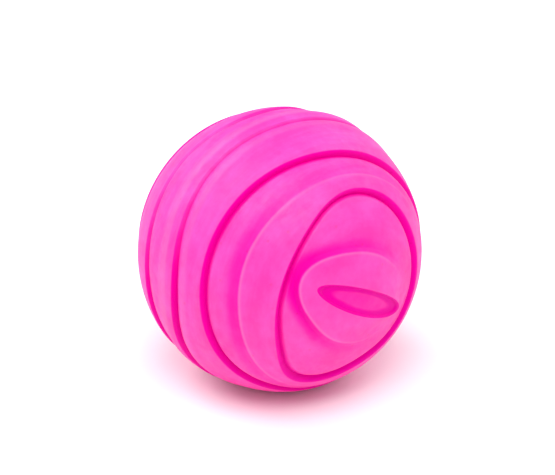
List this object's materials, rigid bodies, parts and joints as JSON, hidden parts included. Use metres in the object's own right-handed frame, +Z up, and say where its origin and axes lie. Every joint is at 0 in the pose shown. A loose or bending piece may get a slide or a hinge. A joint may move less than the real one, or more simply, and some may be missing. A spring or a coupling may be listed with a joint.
{
  "type": "hand exercise ball",
  "caption": "Palm-sized latex squeeze ball with a stepped swirling relief, a springy filling and a press-in squeaker with a sprung reed in its flat base.",
  "frame": {"origin": "middle of the flat base that the ball stands on", "axes": "+Z up through the ball's centre, -Y towards the eye in the middle of the relief, +X to the right of someone facing the eye"},
  "size_m": [0.065, 0.0642, 0.0626],
  "materials": {
    "latex": "matte",
    "wadding": "matte",
    "squeaker_plastic": "satin",
    "reed_block_plastic": "satin",
    "reed_film": "gloss"
  },
  "bodies": {
    "ball": {"ball_skin": "latex", "filling": "wadding", "squeaker_housing": "squeaker_plastic", "squeaker_grille": "squeaker_plastic", "reed_block": "reed_block_plastic", "reed_clamp": "reed_block_plastic"},
    "reed": {"reed": "reed_film"}
  },
  "joints": [
    {"name": "reed_flex", "type": "hinge", "parent": "ball", "child": "reed", "pos_m": [0, 0, 0.009], "axis": [1, 0, 0], "range_deg": [-4, 5], "stiffness_Nm_per_rad": 0.004}
  ]
}
